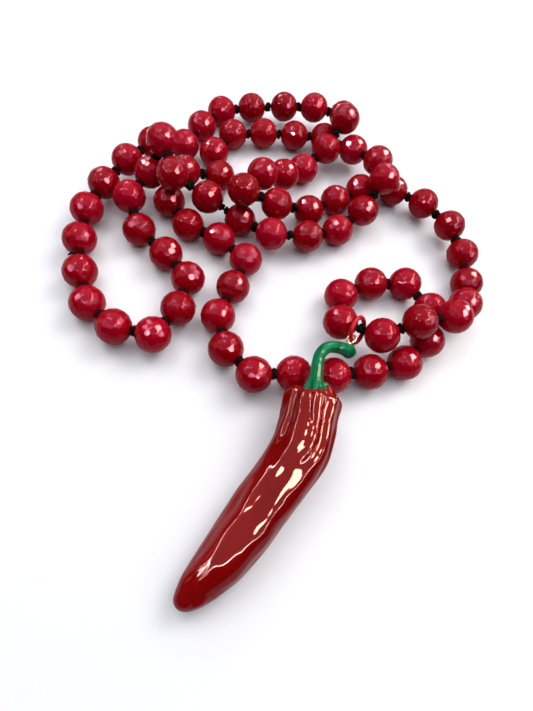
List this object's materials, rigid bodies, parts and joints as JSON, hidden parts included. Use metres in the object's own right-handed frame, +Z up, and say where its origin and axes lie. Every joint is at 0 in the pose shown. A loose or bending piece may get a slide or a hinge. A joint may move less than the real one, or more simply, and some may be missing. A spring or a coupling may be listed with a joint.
{
  "type": "beaded necklace with chilli pendant",
  "caption": "Long closed strand of round faceted beads knotted on thread, laid in loose overlapping loops, with a glossy chilli pepper pendant on a jump ring.",
  "frame": {"origin": "middle of the laid-out necklace's bounding box, on the surface that it lies on", "axes": "+Y from the pepper's tip towards the far loops, +X to the right of that, +Z up"},
  "size_m": [0.1291, 0.172, 0.0237],
  "materials": {
    "bead": "opaque crimson, finely faceted and polished",
    "thread": "matt black knotting thread",
    "pepper": "deep red under a thick clear gloss",
    "stem": "brushed green under clear gloss",
    "eye_metal": "pale polished metal",
    "ring_enamel": "red enamel on round wire"
  },
  "bodies": {
    "strand": {"beads_01_02": "bead", "beads_03_04": "bead", "beads_05_06": "bead", "beads_07_08": "bead", "beads_09_10": "bead", "beads_11_12": "bead", "beads_13_14": "bead", "beads_15_16": "bead", "beads_17_18": "bead", "beads_19_20": "bead", "beads_21_22": "bead", "beads_23_24": "bead", "beads_25_26": "bead", "beads_27_28": "bead", "beads_29_30": "bead", "beads_31_32": "bead", "beads_33_34": "bead", "beads_35_36": "bead", "beads_37_38": "bead", "beads_39_40": "bead", "beads_41_42": "bead", "beads_43_44": "bead", "beads_45_46": "bead", "beads_47_48": "bead", "beads_49_50": "bead", "beads_51_52": "bead", "beads_53_54": "bead", "beads_55_56": "bead", "beads_57_58": "bead", "beads_59_60": "bead", "beads_61_62": "bead", "beads_63_64": "bead", "beads_65_66": "bead", "beads_67_68": "bead", "beads_69_70": "bead", "beads_71_72": "bead", "beads_73_74": "bead", "beads_75_76": "bead", "beads_77": "bead"},
    "pendant": {"jump_ring": "ring_enamel", "eye": "eye_metal", "stem": "stem", "chilli": "pepper"}
  },
  "joints": [
    {"name": "pendant_swing", "type": "hinge", "parent": "strand", "child": "pendant", "pos_m": [0.0279, -0.00805, 0.00896], "axis": [-0.9721, 0.1733, -0.1582], "range_deg": [0, 130]}
  ]
}
